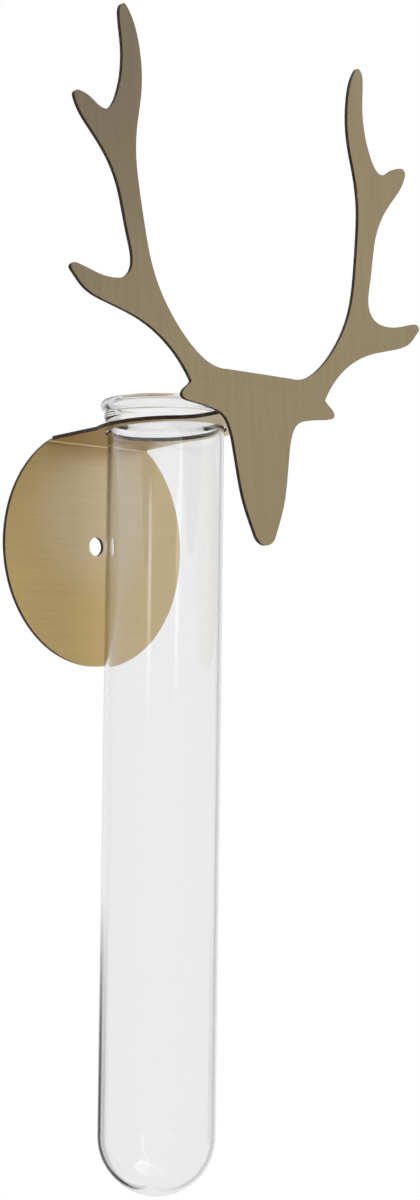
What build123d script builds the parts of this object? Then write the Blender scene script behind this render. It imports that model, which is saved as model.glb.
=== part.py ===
"""Wall mounted glass flower tube: a folded brass bracket with a stag head plate, and a hanging glass tube.

Millimetres. +Z is up, the wall is the plane Y = 0 and the front looks along -Y.
The origin is the centre of the wall hole, on the back face of the wall disc.
"""
from build123d import *
from math import acos, cos, degrees, radians, sin, sqrt
import os

os.makedirs("parts", exist_ok=True)

# Sheet that the bracket and the head plate are cut from
sheet = 1.0
inside_bend = 0.6

# Wall disc
disc_radius = 31.5
wall_hole_diameter = 5.0

# Shelf that carries the tube: it rises towards the front, because the wall fold stays a little open
shelf_below_disc_top = 3.9
opening_angle = 4.0
neck_width = 33.0
ring_width = 2.9
front_strip_width = 14.0
front_blend = 9.0
front_blend_limit_share = 0.9

# Tab at the shelf's front end, brazed to the back of the head plate
tab_height = 7.0
tab_corner = 2.0

# Head plate
head_distance = 60.5
antler_half_span = 62.1
antler_height = 94.5
muzzle_drop = 34.3
skull_height = 8.6
nose_radius = 3.9
nose_turn = 60.0

# Glass tube
tube_distance = 26.7
tube_diameter = 30.0
tube_length = 202.0
tube_wall = 1.0
ring_clearance = 0.6
seat_gap = 0.3
shoulder_hold = 0.3
shoulder_height = 1.6
collar_height = 1.2
groove_depth = 0.6
groove_height = 0.6
neck_blend = 0.25
lip_overhang = 0.9
bead_radius = 1.6

# Values worked out from the sizes above
shelf_height = disc_radius - shelf_below_disc_top
tube_radius = tube_diameter / 2
hole_radius = tube_radius + ring_clearance
ring_radius = hole_radius + ring_width
rise = radians(opening_angle)
ring_reach = tube_distance / cos(rise)
head_reach = head_distance / cos(rise)

# The shelf's top face: local +y points back to the wall, local +z is the upper side
shelf_top = Plane(origin=(0, 0, shelf_height), x_dir=(1, 0, 0), z_dir=(0, sin(rise), cos(rise)))

# The head plate's front face stands square on the shelf: local +y is up, local +z is the front
head_origin = shelf_top.from_local_coords(Vector(0, -head_reach, 0))
head_front = Plane(origin=head_origin, x_dir=(1, 0, 0), z_dir=-shelf_top.y_dir)

# Wall bend: the sheet turns about a line below the shelf and in front of the disc
wall_bend_y = -(sheet + inside_bend)
wall_bend_z = shelf_height - (sheet + inside_bend) * (1 - sin(rise)) / cos(rise)
wall_bend = Vector(0, wall_bend_y, wall_bend_z)
neck_start = shelf_top.to_local_coords(wall_bend).Y

# Front bend: the sheet turns up about a line above the shelf and behind the tab
front_bend_reach = head_reach - 2 * sheet - inside_bend
front_bend = shelf_top.from_local_coords(Vector(0, -front_bend_reach, inside_bend))

# Largest radius that fits between the ring and the front strip, before the front bend
strip_run = front_bend_reach - ring_reach
strip_half = front_strip_width / 2
blend_room = (strip_run**2 - ring_radius**2 + strip_half**2) / (2 * (ring_radius - strip_half))

# Wall bracket: one strip of sheet, the disc folded down at its back and the tab folded up at its front
with BuildPart() as wall_bracket:
    # Disc, cut off along the chord where the wall bend starts
    with BuildSketch(Plane.XZ):
        chord_half = sqrt(disc_radius**2 - wall_bend_z**2)
        with BuildLine():
            ThreePointArc((-chord_half, wall_bend_z), (0, -disc_radius), (chord_half, wall_bend_z))
            Line((chord_half, wall_bend_z), (-chord_half, wall_bend_z))
        make_face()
    extrude(amount=sheet)

    # Wall bend, its ends trimmed to the disc's own circle
    with BuildSketch(Plane.XY.offset(wall_bend_z)):
        with Locations((0, wall_bend_y + inside_bend)):
            Rectangle(2 * chord_half, sheet, align=(Align.CENTER, Align.MIN))
    revolve(axis=Axis(wall_bend, (1, 0, 0)), revolution_arc=90 - opening_angle)
    with BuildSketch(Plane.XZ):
        Circle(disc_radius)
        Circle(wall_hole_diameter / 2, mode=Mode.SUBTRACT)
    extrude(amount=-wall_bend_y, mode=Mode.INTERSECT)

    # Shelf in the flat: neck, ring round the tube and front strip
    with BuildSketch(shelf_top) as shelf_outline:
        with Locations((0, neck_start)):
            Rectangle(neck_width, ring_reach + neck_start, align=(Align.CENTER, Align.MAX))
        with Locations((0, -ring_reach)):
            Circle(ring_radius)
        with Locations((0, -front_bend_reach)):
            Rectangle(front_strip_width, strip_run, align=(Align.CENTER, Align.MIN))
        inner_corners = shelf_outline.vertices().group_by(Axis.Y)[1]
        fillet(inner_corners, min(front_blend, blend_room * front_blend_limit_share))
        with Locations((0, -ring_reach)):
            Circle(hole_radius, mode=Mode.SUBTRACT)
    extrude(amount=-sheet)

    # Front bend, and the tab behind the head plate
    with BuildSketch(Plane(origin=front_bend, x_dir=(1, 0, 0), z_dir=shelf_top.y_dir)):
        with Locations((0, inside_bend)):
            Rectangle(front_strip_width, sheet, align=(Align.CENTER, Align.MIN))
    revolve(axis=Axis(front_bend, (-1, 0, 0)), revolution_arc=90)
    with BuildSketch(head_front.offset(-sheet)) as tab_outline:
        with Locations((0, inside_bend)):
            Rectangle(front_strip_width, tab_height - inside_bend, align=(Align.CENTER, Align.MIN))
        fillet(tab_outline.vertices().group_by(Axis.Y)[-1], tab_corner)
    extrude(amount=-sheet)
wall_bracket.part.label = "wall_bracket"
export_step(wall_bracket.part, "parts/wall_bracket.step")

# Head plate outline, right half, from the nose round to the middle of the skull. Each pair is a share
# of the half span across and a share of the antler height up, or of the muzzle drop for the muzzle.
muzzle_shares = ((0.068, -0.891), (0.080, -0.843), (0.114, -0.690), (0.140, -0.486), (0.157, -0.313),
                 (0.173, -0.193), (0.206, -0.094), (0.284, -0.042))
ear_shares = ((0.353, -0.0085), (0.409, -0.0045), (0.429, 0.0000), (0.437, 0.0070), (0.432, 0.0170),
              (0.413, 0.0290), (0.384, 0.0460))
lower_tine_shares = ((0.420, 0.080), (0.523, 0.143), (0.649, 0.186), (0.827, 0.217), (0.937, 0.245),
                     (0.987, 0.277), (0.999, 0.290), (0.989, 0.299), (0.963, 0.300), (0.910, 0.292),
                     (0.844, 0.282), (0.774, 0.280), (0.722, 0.288), (0.688, 0.310))
beam_outer_shares = ((0.679, 0.345), (0.695, 0.395), (0.717, 0.460), (0.745, 0.530), (0.784, 0.581),
                     (0.865, 0.645), (0.930, 0.694))
upper_tine_shares = ((0.950, 0.720), (0.953, 0.733), (0.943, 0.741), (0.919, 0.742), (0.871, 0.732),
                     (0.822, 0.714), (0.786, 0.712), (0.756, 0.727))
beam_tip_shares = ((0.728, 0.761), (0.707, 0.803), (0.696, 0.848), (0.695, 0.898), (0.702, 0.943),
                   (0.704, 0.970), (0.696, 0.992), (0.678, 1.000), (0.656, 0.988), (0.629, 0.957))
beam_inner_shares = ((0.606, 0.904), (0.595, 0.836), (0.604, 0.764), (0.628, 0.692), (0.641, 0.614),
                     (0.630, 0.523), (0.609, 0.433), (0.582, 0.346), (0.541, 0.275), (0.478, 0.210),
                     (0.374, 0.138), (0.291, 0.103), (0.235, 0.092))
skull_corner_share = 0.186


def on_head(shares, height=antler_height):
    """Points of the outline, in millimetres on the head plate's own plane."""
    return [(antler_half_span * across, height * up) for across, up in shares]


# Head plate: a flat stag head silhouette
with BuildPart() as stag_head_plate:
    with BuildSketch(head_front):
        with BuildLine():
            nose = CenterArc((0, nose_radius - muzzle_drop), nose_radius, -90, nose_turn)
            face = Spline(nose @ 1, *on_head(muzzle_shares, muzzle_drop), *on_head(ear_shares))
            antler = on_head(lower_tine_shares + beam_outer_shares + upper_tine_shares + beam_tip_shares)
            skull_corner = (antler_half_span * skull_corner_share, skull_height)
            Spline(face @ 1, *antler, *on_head(beam_inner_shares), skull_corner)
            Line(skull_corner, (0, skull_height))
            mirror(about=Plane.YZ)
        make_face()
    extrude(amount=-sheet)
stag_head_plate.part.label = "stag_head_plate"
export_step(stag_head_plate.part, "parts/stag_head_plate.step")

# Glass tube: it hangs plumb, with its shoulder on the front of the ring's top edge, the highest point there
seat = shelf_top.from_local_coords(Vector(0, -(ring_reach + hole_radius), 0))
seat_radius = -seat.Y - tube_distance
collar_radius = hole_radius + shoulder_hold
groove_radius = collar_radius - groove_depth
lip_radius = collar_radius + lip_overhang
bore_radius = tube_radius - tube_wall
bead_centre_radius = lip_radius - bead_radius

# Heights up the tube
seat_share = (seat_radius - tube_radius) / (collar_radius - tube_radius)
shoulder_foot = seat.Z + seat_gap - shoulder_height * seat_share
collar_foot = shoulder_foot + shoulder_height
collar_top = collar_foot + collar_height
groove_top = collar_top + groove_height
bead_turn = acos((groove_radius - bead_centre_radius) / bead_radius)
bead_height = groove_top + bead_radius * sin(bead_turn)
tube_top = bead_height + bead_radius
dome_height = tube_top - tube_length + tube_radius

with BuildPart() as glass_tube:
    with BuildSketch(Plane(origin=(0, -tube_distance, 0), x_dir=(1, 0, 0), z_dir=(0, -1, 0))):
        with BuildLine():
            FilletPolyline((tube_radius, dome_height), (tube_radius, shoulder_foot),
                           (collar_radius, collar_foot), (collar_radius, collar_top),
                           (groove_radius, groove_top), radius=neck_blend)
            bead_start = -degrees(bead_turn)
            CenterArc((bead_centre_radius, bead_height), bead_radius, bead_start, 180 - bead_start)
            throat_top = (bead_centre_radius - bead_radius, bead_height)
            Spline(throat_top, (bore_radius, shoulder_foot), tangents=((0, -1), (0, -1)))
            Line((bore_radius, shoulder_foot), (bore_radius, dome_height))
            CenterArc((0, dome_height), bore_radius, 0, -90)
            Line((0, dome_height - bore_radius), (0, dome_height - tube_radius))
            CenterArc((0, dome_height), tube_radius, -90, 90)
        make_face()
    revolve(axis=Axis((0, -tube_distance, 0), (0, 0, 1)))
glass_tube.part.label = "glass_tube"
export_step(glass_tube.part, "parts/glass_tube.step")

print(f"Tube from {tube_top - tube_length:.2f} to {tube_top:.2f}, ring's front edge at {seat.Z:.2f}")
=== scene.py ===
import math

import bmesh
import bpy
from mathutils import Matrix, Vector
from mathutils.bvhtree import BVHTree


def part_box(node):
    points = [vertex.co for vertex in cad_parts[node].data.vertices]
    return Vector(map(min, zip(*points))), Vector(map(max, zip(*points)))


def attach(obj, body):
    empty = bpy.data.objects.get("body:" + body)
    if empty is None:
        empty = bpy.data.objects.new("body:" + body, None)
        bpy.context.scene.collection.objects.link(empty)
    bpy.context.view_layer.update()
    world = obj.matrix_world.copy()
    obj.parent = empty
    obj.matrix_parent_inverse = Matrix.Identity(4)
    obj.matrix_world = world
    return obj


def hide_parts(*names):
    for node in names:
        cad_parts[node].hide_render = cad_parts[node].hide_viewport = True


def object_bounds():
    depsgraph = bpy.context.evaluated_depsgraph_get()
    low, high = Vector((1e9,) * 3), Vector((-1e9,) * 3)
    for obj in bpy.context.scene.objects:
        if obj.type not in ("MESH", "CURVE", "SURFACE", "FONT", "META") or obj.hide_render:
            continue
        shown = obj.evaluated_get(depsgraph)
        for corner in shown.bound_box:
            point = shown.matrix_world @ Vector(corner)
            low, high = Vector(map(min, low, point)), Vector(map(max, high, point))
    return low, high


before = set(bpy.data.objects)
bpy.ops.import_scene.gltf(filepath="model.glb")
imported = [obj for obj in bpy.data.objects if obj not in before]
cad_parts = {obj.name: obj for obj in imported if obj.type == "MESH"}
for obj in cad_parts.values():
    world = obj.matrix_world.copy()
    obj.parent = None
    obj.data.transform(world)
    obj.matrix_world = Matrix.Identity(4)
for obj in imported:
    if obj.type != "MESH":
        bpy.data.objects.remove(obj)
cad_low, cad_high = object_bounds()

# Wall bracket: one strip of satin brass sheet, laser cut, brushed across its length, then folded
# down into the wall disc and up into the small tab at the front. The cut edges keep the dark scale
# of the laser.
MM = 0.001
sheet = 1.0 * MM
thickness_slack = 0.02 * sheet
edge_round = 0.1 * MM
weld_distance = 0.001 * MM
flat_angle = math.radians(0.2)
sharp_angle = math.radians(25)


def sheet_metal(node, name, face_material, edge_material):
    """A copy of a CAD sheet part, its cut edges told from its faces and lightly rounded."""
    bm = bmesh.new()
    bm.from_mesh(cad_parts[node].data)
    bmesh.ops.remove_doubles(bm, verts=bm.verts, dist=weld_distance)
    tree = BVHTree.FromBMesh(bm)
    for face in bm.faces:
        inside = face.calc_center_median() - face.normal * edge_round
        _, _, _, depth = tree.ray_cast(inside, -face.normal, 2 * sheet)
        through = depth is not None and abs(depth + edge_round - sheet) < thickness_slack
        face.material_index = 0 if through else 1
        face.smooth = True
    bmesh.ops.dissolve_limit(bm, angle_limit=flat_angle, verts=bm.verts, edges=bm.edges,
                             delimit={"MATERIAL"})
    rims = [e for e in bm.edges if len({f.material_index for f in e.link_faces}) == 2]
    bmesh.ops.bevel(bm, geom=rims, offset=edge_round, segments=2, profile=0.5, affect="EDGES",
                    material=1, clamp_overlap=True)
    mesh = bpy.data.meshes.new(name)
    bm.to_mesh(mesh)
    bm.free()
    mesh.set_sharp_from_angle(angle=sharp_angle)
    mesh.materials.append(face_material)
    mesh.materials.append(edge_material)
    piece = bpy.data.objects.new(name, mesh)
    bpy.context.scene.collection.objects.link(piece)
    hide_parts(node)
    return piece


def socket(group, name, way, kind, value=None):
    """A named socket on a node group."""
    made = group.interface.new_socket(name=name, in_out=way, socket_type=kind)
    if value is not None:
        made.default_value = value


def feed(tree, place, value):
    """Links a socket to an input, or sets the input to a number."""
    if isinstance(value, bpy.types.NodeSocket):
        tree.links.new(value, place)
    else:
        place.default_value = value


def maths(tree, operation, *values, clamp=False):
    """The result of a Math node on numbers and sockets."""
    node = tree.nodes.new("ShaderNodeMath")
    node.operation = operation
    node.use_clamp = clamp
    for place, value in zip(node.inputs, values):
        feed(tree, place, value)
    return node.outputs["Value"]


def ranged(tree, value, start, end, low=0.0, high=1.0, kind="LINEAR"):
    """A value carried from one range to another. Each end is a number or a socket."""
    node = tree.nodes.new("ShaderNodeMapRange")
    node.interpolation_type = kind
    ends = {"Value": value, "From Min": start, "From Max": end, "To Min": low, "To Max": high}
    for name, given in ends.items():
        feed(tree, node.inputs[name], given)
    return node.outputs["Result"]


def mixed(tree, share, first, second):
    """A mix of two numbers or sockets."""
    node = tree.nodes.new("ShaderNodeMix")
    for name, value in {"Factor": share, "A": first, "B": second}.items():
        feed(tree, node.inputs[name], value)
    return node.outputs["Result"]


def divided(tree, place, sizes):
    """A place counted in the given sizes along X, Y and Z."""
    node = tree.nodes.new("ShaderNodeVectorMath")
    node.operation = "DIVIDE"
    node.inputs[1].default_value = sizes
    tree.links.new(place, node.inputs[0])
    return node.outputs["Vector"]


def noise(tree, place, scale, detail=2.0):
    """Soft noise at a place."""
    node = tree.nodes.new("ShaderNodeTexNoise")
    node.inputs["Scale"].default_value = scale
    node.inputs["Detail"].default_value = detail
    tree.links.new(place, node.inputs["Vector"])
    return node.outputs["Fac"]


def two_tones(tree, share, starts, tones):
    """A blend of two tones, each reached at its own start."""
    node = tree.nodes.new("ShaderNodeValToRGB")
    for element, start, tone in zip(node.color_ramp.elements, starts, tones):
        element.position = start
        element.color = (*tone, 1)
    tree.links.new(share, node.inputs["Fac"])
    return node.outputs["Color"]


def fine_bump(tree, height, depth, strength=0.3):
    """Normals for a fine relief of the given depth."""
    node = tree.nodes.new("ShaderNodeBump")
    node.inputs["Strength"].default_value = strength
    node.inputs["Distance"].default_value = depth
    tree.links.new(height, node.inputs["Height"])
    return node.outputs["Normal"]


def brush_grain_group():
    """Scratches of a brush. Place counts in scratch sizes, and broad streaks are five of them."""
    group = bpy.data.node_groups.new("brush grain", "ShaderNodeTree")
    socket(group, "Place", "INPUT", "NodeSocketVector")
    socket(group, "Fine Share", "INPUT", "NodeSocketFloat", 0.6)
    socket(group, "Streaks", "OUTPUT", "NodeSocketFloat")
    socket(group, "Scratches", "OUTPUT", "NodeSocketFloat")
    given = group.nodes.new("NodeGroupInput").outputs
    out = group.nodes.new("NodeGroupOutput").inputs
    fine = noise(group, given["Place"], scale=1.0, detail=3.0)
    broad = noise(group, given["Place"], scale=0.2)
    group.links.new(mixed(group, given["Fine Share"], broad, fine), out["Streaks"])
    group.links.new(fine, out["Scratches"])
    return group


brush_grain = brush_grain_group()
streak_starts = (0.34, 0.66)
roughness_spread = 0.08
scratch_depth = 0.01 * MM
clouds_per_metre = 60.0
cloud_share = 0.25


def brushed_brass(name, streak_tones, tint_and_shade_tone, tint_and_shade_from, tint_and_shade_range, scratch_size,
                  roughness):
    """Brushed brass that turns to a tint away from a point, given as X and Z. On the head plate the
    tint is a painted shade.
    """
    material = bpy.data.materials.new(name)
    material.use_nodes = True
    tree = material.node_tree
    nodes, links = tree.nodes, tree.links
    metal = nodes["Principled BSDF"]
    metal.inputs["Metallic"].default_value = 1.0
    metal.inputs["Anisotropic"].default_value = 0.3
    where = nodes.new("ShaderNodeTexCoord").outputs["Object"]

    # Grain
    grain = nodes.new("ShaderNodeGroup")
    grain.node_tree = brush_grain
    links.new(divided(tree, where, scratch_size), grain.inputs["Place"])
    streaks = grain.outputs["Streaks"]
    tone = two_tones(tree, streaks, streak_starts, streak_tones)
    rough = ranged(tree, streaks, 0.0, 1.0, roughness - roughness_spread,
                   roughness + roughness_spread)
    links.new(rough, metal.inputs["Roughness"])
    links.new(fine_bump(tree, grain.outputs["Scratches"], scratch_depth), metal.inputs["Normal"])

    # Tint, which is a painted shade on the head plate: the distance from the point, made uneven by
    # clouds
    away = nodes.new("ShaderNodeVectorMath")
    away.operation = "MULTIPLY_ADD"
    away.inputs[1].default_value = (1, 0, 1)
    away.inputs[2].default_value = (-tint_and_shade_from[0], 0, -tint_and_shade_from[1])
    distance = nodes.new("ShaderNodeVectorMath")
    distance.operation = "LENGTH"
    links.new(where, away.inputs[0])
    links.new(away.outputs["Vector"], distance.inputs[0])
    cloud_reach = cloud_share * (tint_and_shade_range[1] - tint_and_shade_range[0])
    clouds = noise(tree, where, clouds_per_metre)
    uneven = maths(tree, "MULTIPLY_ADD", clouds, cloud_reach, distance.outputs["Value"])
    tint_and_shade = nodes.new("ShaderNodeMix")
    tint_and_shade.data_type = "RGBA"
    tint_and_shade.blend_type = "MULTIPLY"
    tint_and_shade.inputs["B"].default_value = (*tint_and_shade_tone, 1)
    links.new(ranged(tree, uneven, *tint_and_shade_range, kind="SMOOTHSTEP"), tint_and_shade.inputs["Factor"])
    links.new(tone, tint_and_shade.inputs["A"])
    links.new(tint_and_shade.outputs["Result"], metal.inputs["Base Color"])
    return material


def laser_edge(name, tones, speck_starts, speck_size):
    """The dark brown scale on a laser cut edge, with finer lighter specks."""
    material = bpy.data.materials.new(name)
    material.use_nodes = True
    tree = material.node_tree
    metal = tree.nodes["Principled BSDF"]
    metal.inputs["Metallic"].default_value = 0.7
    metal.inputs["Roughness"].default_value = 0.45
    where = tree.nodes.new("ShaderNodeTexCoord").outputs["Object"]
    specks = noise(tree, where, 1 / speck_size)
    tree.links.new(two_tones(tree, specks, speck_starts, tones), metal.inputs["Base Color"])
    return material


cut_edge = laser_edge(
    "laser_cut_edge", tones=((0.016, 0.010, 0.006), (0.056, 0.038, 0.022)),
    speck_starts=(0.4, 0.8), speck_size=1.5 * MM)
bracket_brass = brushed_brass(
    "golden_brushed_brass", streak_tones=((0.556, 0.441, 0.277), (0.628, 0.502, 0.324)),
    tint_and_shade_tone=(0.94, 0.86, 0.60), tint_and_shade_from=(0, 10 * MM), tint_and_shade_range=(12 * MM, 30 * MM),
    scratch_size=(9 * MM, 0.22 * MM, 0.22 * MM), roughness=0.36)
bracket = sheet_metal("wall_bracket", "brushed_wall_bracket", bracket_brass, cut_edge)
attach(bracket, "bracket")

# Stag head plate: the same sheet with an antique finish, cut out as a flat silhouette, brushed from
# nose to antler tips and brazed to the tab. A painted shade greys and darkens it towards the upper
# left.
head_brass = brushed_brass(
    "antique_brushed_brass", streak_tones=((0.280, 0.221, 0.133), (0.329, 0.262, 0.157)),
    tint_and_shade_tone=(0.66, 0.68, 0.74), tint_and_shade_from=(450 * MM, -396 * MM),
    tint_and_shade_range=(648 * MM, 722 * MM), scratch_size=(0.22 * MM, 9 * MM, 9 * MM), roughness=0.38)
head = sheet_metal("stag_head_plate", "brushed_stag_head", head_brass, cut_edge)
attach(head, "bracket")

# Glass tube: a test tube of clear borosilicate, drawn from tubing, its bottom blown round and its
# mouth rolled outwards in the flame into a bead, over a groove, a collar and the shoulder that sits
# on the ring.
tube_low, tube_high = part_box("glass_tube")
tube_axis_y = (tube_low.y + tube_high.y) / 2
lip_radius = (tube_high.x - tube_low.x) / 2
tube_radius = 15.0 * MM
tube_wall = 1.0 * MM
bore_radius = tube_radius - tube_wall
bead_radius = 1.6 * MM
groove_radius = 15.3 * MM
collar_radius = 15.9 * MM
groove_height = 0.6 * MM
collar_height = 1.2 * MM
shoulder_height = 1.6 * MM
neck_blend = 0.25 * MM
held_share = 0.2
round_steps = 24
blend_steps = 4
lathe_turns = 160
on_axis = 0.001 * MM


def arc(centre_r, centre_z, radius, start, end, steps):
    """Points (distance from the axis, height) on an arc, with angles from straight outwards."""
    turns = [math.radians(start + (end - start) * k / steps) for k in range(steps + 1)]
    return [(centre_r + radius * math.cos(t), centre_z + radius * math.sin(t)) for t in turns]


def blended(corners, radius, steps):
    """Straight lines with each inner corner rounded, and the lines held straight beside it."""
    points = [corners[0]]
    for before, here, after in zip(corners, corners[1:], corners[2:]):
        corner = Vector(here)
        back = (Vector(before) - corner).normalized()
        on = (Vector(after) - corner).normalized()
        half = math.acos(back.dot(on)) / 2
        reach = radius / math.tan(half)
        held = reach + held_share * radius
        centre = corner + (back + on).normalized() * (radius / math.sin(half))
        spoke, last = corner + back * reach - centre, corner + on * reach - centre
        start = math.degrees(math.atan2(spoke.y, spoke.x))
        turn = (math.degrees(math.atan2(last.y, last.x)) - start + 180) % 360 - 180
        points.append(tuple(corner + back * held))
        points += arc(centre.x, centre.y, radius, start, start + turn, steps)
        points.append(tuple(corner + on * held))
    points.append(corners[-1])
    return points


def glass_profile():
    """The wall's outline, from the bottom up outside, over the lip and down inside."""
    dome_z = tube_low.z + tube_radius
    bead_r = lip_radius - bead_radius
    bead_z = tube_high.z - bead_radius
    bead_start = -math.degrees(math.acos((groove_radius - bead_r) / bead_radius))
    groove_z = bead_z + bead_radius * math.sin(math.radians(bead_start))
    collar_top = groove_z - groove_height
    collar_foot = collar_top - collar_height
    shoulder_foot = collar_foot - shoulder_height
    outside = arc(0, dome_z, tube_radius, -90, 0, round_steps)
    shoulder_corners = [(tube_radius, dome_z + neck_blend), (tube_radius, shoulder_foot),
                        (collar_radius, collar_foot), (collar_radius, collar_top),
                        (groove_radius, groove_z)]
    shoulder = blended(shoulder_corners, neck_blend, blend_steps)
    lip = arc(bead_r, bead_z, bead_radius, bead_start, 180, round_steps)[1:]
    throat_r = bead_r - bead_radius
    throat = []
    for step in range(1, round_steps + 1):
        down = step / round_steps
        eased = 3 * down**2 - 2 * down**3
        throat.append((throat_r - (throat_r - bore_radius) * eased,
                       bead_z - (bead_z - shoulder_foot) * down))
    inside = [(bore_radius, shoulder_foot - neck_blend), (bore_radius, dome_z + neck_blend)]
    bottom = arc(0, dome_z, bore_radius, 0, -90, round_steps)
    return outside + shoulder + lip + throat + inside + bottom


def lathe(name, profile, axis_y, turns):
    """A closed round mesh: the profile turned about the vertical axis through axis_y."""
    bm = bmesh.new()
    rings = []
    for r, z in profile:
        if r < on_axis:
            rings.append([bm.verts.new((0, axis_y, z))])
            continue
        angles = [2 * math.pi * k / turns for k in range(turns)]
        rings.append([bm.verts.new((r * math.cos(a), axis_y + r * math.sin(a), z)) for a in angles])
    for low, high in zip(rings, rings[1:]):
        for k in range(turns):
            corners = [low[k % len(low)], low[(k + 1) % len(low)],
                       high[(k + 1) % len(high)], high[k % len(high)]]
            bm.faces.new(list(dict.fromkeys(corners)))
    bmesh.ops.recalc_face_normals(bm, faces=bm.faces)
    for face in bm.faces:
        face.smooth = True
    mesh = bpy.data.meshes.new(name)
    bm.to_mesh(mesh)
    bm.free()
    piece = bpy.data.objects.new(name, mesh)
    bpy.context.scene.collection.objects.link(piece)
    return piece


def clear_glass(draw_line_size, draw_line_depth):
    """Clear glass that greys the light a little, with faint draw lines along the tube."""
    material = bpy.data.materials.new("clear_drawn_glass")
    material.use_nodes = True
    tree = material.node_tree
    glass = tree.nodes["Principled BSDF"]
    glass.inputs["Base Color"].default_value = (0.955, 0.955, 0.955, 1)
    glass.inputs["Transmission Weight"].default_value = 1.0
    glass.inputs["Roughness"].default_value = 0.0
    glass.inputs["IOR"].default_value = 1.47
    where = tree.nodes.new("ShaderNodeTexCoord").outputs["Object"]
    waves = noise(tree, divided(tree, where, draw_line_size), scale=1.0, detail=1.0)
    tree.links.new(fine_bump(tree, waves, draw_line_depth), glass.inputs["Normal"])
    grey = tree.nodes.new("ShaderNodeVolumeAbsorption")
    grey.inputs["Color"].default_value = (0.5, 0.5, 0.5, 1)
    grey.inputs["Density"].default_value = 90.0
    tree.links.new(grey.outputs["Volume"], tree.nodes["Material Output"].inputs["Volume"])
    return material


tube = lathe("clear_glass_tube", glass_profile(), tube_axis_y, lathe_turns)
tube.data.materials.append(
    clear_glass(draw_line_size=(3.5 * MM, 3.5 * MM, 150 * MM), draw_line_depth=0.04 * MM))
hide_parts("glass_tube")
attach(tube, "tube")

# Floor: a plain pale studio floor well below the hanging tube, white with a faint shadow for the
# camera and clear from below. The glass and the brass also see a dark card on it behind the object
# and a pale grey flag at its right. Azimuths are from +Y, in degrees.
floor_gap = 135 * MM
floor_radius = 6.0
floor_corners = 96
shadow_radii = (0.40, 0.70)
shadow_white_share = 0.55
dark_card = {"azimuth": 20, "half_widths": (7, 15), "shade": 0.05}
dark_card_distances = (4.0, 1.0)
grey_flag = {"azimuth": 80, "half_widths": (4, 16), "shade": 0.68}


def upright_card_group():
    """How far a direction falls in an upright card: 1 in its middle, 0 past its soft edges."""
    group = bpy.data.node_groups.new("upright card", "ShaderNodeTree")
    socket(group, "Direction", "INPUT", "NodeSocketVector")
    socket(group, "Azimuth", "INPUT", "NodeSocketFloat")
    socket(group, "Half Width", "INPUT", "NodeSocketFloat")
    socket(group, "Soft Half Width", "INPUT", "NodeSocketFloat")
    socket(group, "Card", "OUTPUT", "NodeSocketFloat")
    given = group.nodes.new("NodeGroupInput").outputs
    out = group.nodes.new("NodeGroupOutput").inputs
    parts = group.nodes.new("ShaderNodeSeparateXYZ")
    group.links.new(given["Direction"], parts.inputs["Vector"])
    azimuth = maths(group, "ARCTAN2", parts.outputs["X"], parts.outputs["Y"])
    off_side = maths(group, "SUBTRACT", maths(group, "DEGREES", azimuth), given["Azimuth"])
    across = ranged(group, maths(group, "ABSOLUTE", off_side), given["Soft Half Width"],
                    given["Half Width"], kind="SMOOTHSTEP")
    group.links.new(across, out["Card"])
    return group


upright_card = upright_card_group()


def card_share(tree, direction, card):
    """How far a direction falls in the given card."""
    node = tree.nodes.new("ShaderNodeGroup")
    node.node_tree = upright_card
    node.inputs["Azimuth"].default_value = card["azimuth"]
    node.inputs["Half Width"].default_value = card["half_widths"][0]
    node.inputs["Soft Half Width"].default_value = card["half_widths"][1]
    tree.links.new(direction, node.inputs["Direction"])
    return node.outputs["Card"]


def pale_floor():
    """White with a faint shadow for the camera, white less card and flag for all other rays."""
    material = bpy.data.materials.new("pale_floor")
    material.use_nodes = True
    tree = material.node_tree
    nodes, links = tree.nodes, tree.links
    nodes.remove(nodes["Principled BSDF"])
    path = nodes.new("ShaderNodeLightPath").outputs
    where = nodes.new("ShaderNodeNewGeometry").outputs
    far = nodes.new("ShaderNodeVectorMath")
    far.operation = "LENGTH"
    links.new(where["Position"], far.inputs[0])
    distance = far.outputs["Value"]

    # Plain white light: even for the camera, and less the card and the flag for the other rays
    beyond = ranged(tree, distance, *dark_card_distances, kind="SMOOTHSTEP")
    card = maths(tree, "MULTIPLY", card_share(tree, where["Position"], dark_card), beyond)
    flag = card_share(tree, where["Position"], grey_flag)
    shaded = maths(tree, "MULTIPLY", ranged(tree, card, 0.0, 1.0, 1.0, dark_card["shade"]),
                   ranged(tree, flag, 0.0, 1.0, 1.0, grey_flag["shade"]))
    other_rays = maths(tree, "SUBTRACT", 1.0, path["Is Camera Ray"])
    white = nodes.new("ShaderNodeEmission")
    links.new(mixed(tree, other_rays, 1.0, shaded), white.inputs["Strength"])

    # Lit floor: it takes the light of the diffuse rays, and near the object a share of the camera's
    matt = nodes.new("ShaderNodeBsdfDiffuse")
    matt.inputs["Color"].default_value = (0.9, 0.9, 0.9, 1)
    seen = maths(tree, "ADD", path["Is Camera Ray"], path["Is Glossy Ray"], clamp=True)
    seen = maths(tree, "ADD", seen, path["Is Transmission Ray"], clamp=True)
    near_share = maths(tree, "MULTIPLY_ADD", path["Is Camera Ray"], shadow_white_share - 1, 1.0)
    white_share = ranged(tree, distance, *shadow_radii, near_share, 1.0, kind="SMOOTHSTEP")
    floor_mix = nodes.new("ShaderNodeMixShader")
    links.new(maths(tree, "MULTIPLY", seen, white_share), floor_mix.inputs["Fac"])
    links.new(matt.outputs["BSDF"], floor_mix.inputs[1])
    links.new(white.outputs["Emission"], floor_mix.inputs[2])

    # Clear from below
    clear = nodes.new("ShaderNodeBsdfTransparent")
    from_below = nodes.new("ShaderNodeMixShader")
    links.new(where["Backfacing"], from_below.inputs["Fac"])
    links.new(floor_mix.outputs["Shader"], from_below.inputs[1])
    links.new(clear.outputs["BSDF"], from_below.inputs[2])
    links.new(from_below.outputs["Shader"], nodes["Material Output"].inputs["Surface"])
    return material


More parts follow.
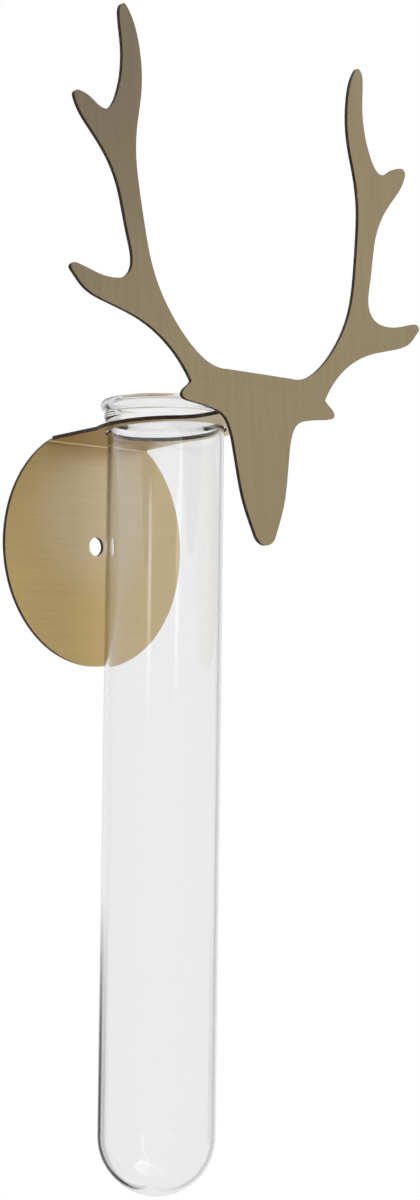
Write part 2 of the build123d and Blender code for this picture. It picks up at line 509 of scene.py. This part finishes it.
bm = bmesh.new()
bmesh.ops.create_circle(bm, cap_ends=True, segments=floor_corners, radius=floor_radius)
floor_mesh = bpy.data.meshes.new("studio_floor")
bm.to_mesh(floor_mesh)
bm.free()
floor_mesh.materials.append(pale_floor())
floor = bpy.data.objects.new("studio_floor", floor_mesh)
floor.location = (0, 0, cad_low.z - floor_gap)
bpy.context.scene.collection.objects.link(floor)

# Studio light: a white room with two tall soft windows, which draw the streaks down the glass, the
# grey flag at the right and a soft lamp overhead. A window fades in over its foot and out over its
# top, both given as the Z of a direction. The camera sees only white.
windows = [
    {"azimuth": -167.5, "half_widths": (0, 4.5), "foot": (0.03, 0.12), "top": (1.0, 0.98),
     "strength": 1.9},
    {"azimuth": -107.5, "half_widths": (0, 6), "foot": (0.0, 0.06), "top": (0.105, 0.085),
     "strength": 2.8},
]
lamp_aim = Vector((0, 0.5 * cad_low.y, 0))


def studio_world():
    """White for the camera, and white with the windows and the flag for all other rays."""
    world = bpy.data.worlds.new("studio")
    world.use_nodes = True
    bpy.context.scene.world = world
    tree = world.node_tree
    room = tree.nodes["Background"]
    room.inputs["Color"].default_value = (1, 1, 1, 1)
    where = tree.nodes.new("ShaderNodeTexCoord").outputs["Generated"]
    parts = tree.nodes.new("ShaderNodeSeparateXYZ")
    tree.links.new(where, parts.inputs["Vector"])
    light = ranged(tree, card_share(tree, where, grey_flag), 0.0, 1.0, 1.0, grey_flag["shade"])
    for window in windows:
        opening = card_share(tree, where, window)
        for end in ("foot", "top"):
            fade = ranged(tree, parts.outputs["Z"], *window[end], kind="SMOOTHSTEP")
            opening = maths(tree, "MULTIPLY", opening, fade)
        light = maths(tree, "MULTIPLY_ADD", opening, window["strength"], light)
    by_camera = tree.nodes.new("ShaderNodeLightPath").outputs["Is Camera Ray"]
    tree.links.new(mixed(tree, by_camera, light, 1.0), room.inputs["Strength"])


def soft_lamp(name, place, width, height, watts):
    """A rectangular lamp that faces the object."""
    data = bpy.data.lights.new(name, "AREA")
    data.shape = "RECTANGLE"
    data.size = width
    data.size_y = height
    data.energy = watts
    lamp = bpy.data.objects.new(name, data)
    lamp.location = place
    lamp.rotation_euler = (lamp_aim - Vector(place)).to_track_quat("-Z", "Y").to_euler()
    bpy.context.scene.collection.objects.link(lamp)


studio_world()
soft_lamp("overhead_lamp", place=(0.25, -0.5, 1.3), width=0.9, height=0.9, watts=6.0)

# Camera: at the photograph's viewing angle, from the left and slightly below, level with the wall
# disc.
view_azimuth = math.radians(-44.97)
view_elevation = math.radians(-3.15)
view_roll = math.radians(0.707)
view_distance = 0.69885
view_target = Vector((0.01897, -0.0245, -0.01382))
focal_share = 2673.85 / 1200
camera_data = bpy.data.cameras.new("camera")
camera_data.sensor_width = 36
camera_data.lens = camera_data.sensor_width * focal_share
camera = bpy.data.objects.new("camera", camera_data)
back = Vector((math.sin(view_azimuth) * math.cos(view_elevation),
               -math.cos(view_azimuth) * math.cos(view_elevation), math.sin(view_elevation)))
aim = (-back).to_track_quat("-Z", "Y").to_matrix() @ Matrix.Rotation(view_roll, 3, "Z")
camera.matrix_world = Matrix.Translation(view_target + back * view_distance) @ aim.to_4x4()
bpy.context.scene.collection.objects.link(camera)
bpy.context.scene.camera = camera
bpy.context.scene.view_settings.view_transform = "Standard"
